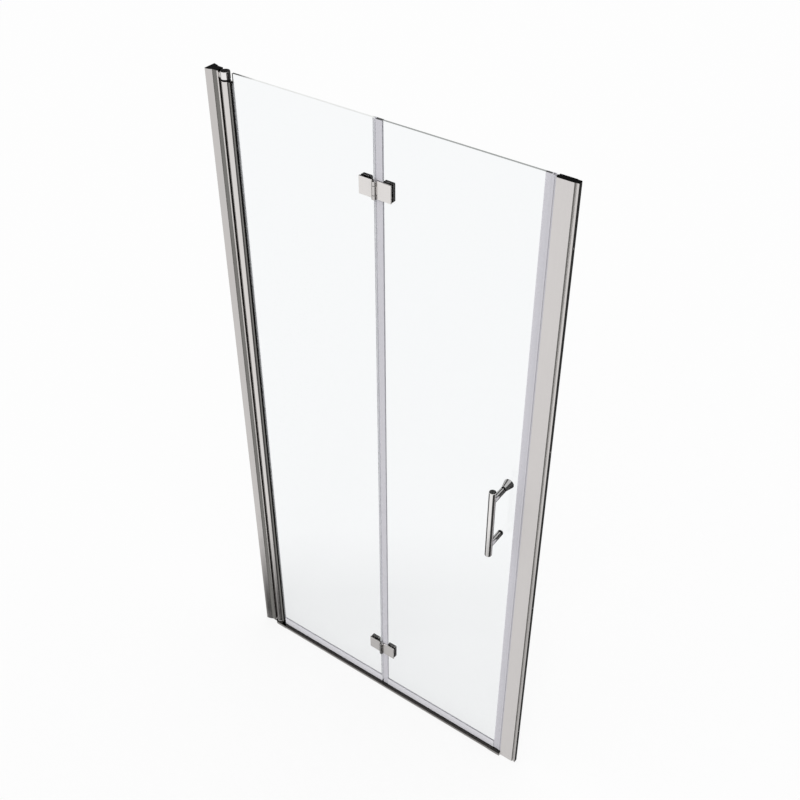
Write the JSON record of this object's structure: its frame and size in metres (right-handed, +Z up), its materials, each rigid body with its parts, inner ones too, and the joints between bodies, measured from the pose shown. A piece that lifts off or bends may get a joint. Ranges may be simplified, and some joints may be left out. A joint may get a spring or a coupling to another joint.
{
  "type": "shower door",
  "caption": "Framed recess shower door: a clear pane pivots on a wall jamb and a second pane folds on it, with a bar handle, magnetic closing strip and low threshold rail.",
  "frame": {"origin": "on the underside of the threshold rail, midway between the walls, under the middle of the glass", "axes": "+X from the pivot wall to the closing wall, +Y into the shower, +Z up"},
  "size_m": [0.98, 0.0935, 1.95],
  "materials": {
    "polished_aluminium": "brushed",
    "chrome": "polished",
    "steel": "satin",
    "clear_glass": "clear",
    "clear_seal": "translucent",
    "black_plastic": "moulded",
    "black_rubber": "matt",
    "magnet_strip": "matt"
  },
  "bodies": {
    "frame": {"wall_channel_left": "polished_aluminium", "pivot_jamb": "polished_aluminium", "jamb_bulb_seal": "black_rubber", "jamb_top_cap": "black_plastic", "jamb_fixing_screws": "steel", "top_pivot_block": "chrome", "top_pivot_pin": "steel", "bottom_pivot_block": "chrome", "bottom_pivot_pin": "steel", "pivot_block_screws": "steel", "bottom_thrust_washer": "black_plastic", "threshold_rail": "polished_aluminium", "rail_end_left": "polished_aluminium", "rail_end_right": "polished_aluminium", "wall_channel_right": "polished_aluminium", "closing_profile": "polished_aluminium", "closing_top_cap": "black_plastic", "closing_fixing_screws": "steel", "frame_magnet_seal": "clear_seal", "frame_magnet": "magnet_strip"},
    "hinge_panel": {"pivot_post": "polished_aluminium", "post_top_bush": "black_plastic", "post_bottom_bush": "black_plastic", "hinge_side_glass": "clear_glass", "post_gasket_front": "black_rubber", "post_gasket_back": "black_rubber", "fold_leaf_left_top": "chrome", "fold_leaf_left_bottom": "chrome", "fold_clamp_left_top": "chrome", "fold_clamp_left_bottom": "chrome", "fold_pads_left_top": "black_rubber", "fold_pads_left_bottom": "black_rubber", "fold_screws_left": "steel", "fold_pin_top": "steel", "fold_pin_bottom": "steel", "drip_seal_left": "clear_seal"},
    "handle_panel": {"handle_side_glass": "clear_glass", "fold_leaf_right_top": "chrome", "fold_leaf_right_bottom": "chrome", "fold_clamp_right_top": "chrome", "fold_clamp_right_bottom": "chrome", "fold_pads_right_top": "black_rubber", "fold_pads_right_bottom": "black_rubber", "fold_screws_right": "steel", "fold_bush_top": "black_plastic", "fold_bush_bottom": "black_plastic", "fold_seal": "clear_seal", "drip_seal_right": "clear_seal", "door_magnet_seal": "clear_seal", "door_magnet": "magnet_strip", "handle_bar": "chrome", "handle_post_top": "chrome", "handle_post_bottom": "chrome", "handle_rings": "black_rubber", "handle_knob": "chrome", "handle_stud": "steel", "handle_lower_screw": "steel"}
  },
  "joints": [
    {"name": "door_pivot", "type": "hinge", "parent": "frame", "child": "hinge_panel", "pos_m": [-0.439, 0, 0], "axis": [0, 0, 1], "range_deg": [0, 90]},
    {"name": "panel_fold", "type": "hinge", "parent": "hinge_panel", "child": "handle_panel", "pos_m": [-0.005, -0.01, 0], "axis": [0, 0, -1], "range_deg": [0, 170]}
  ]
}
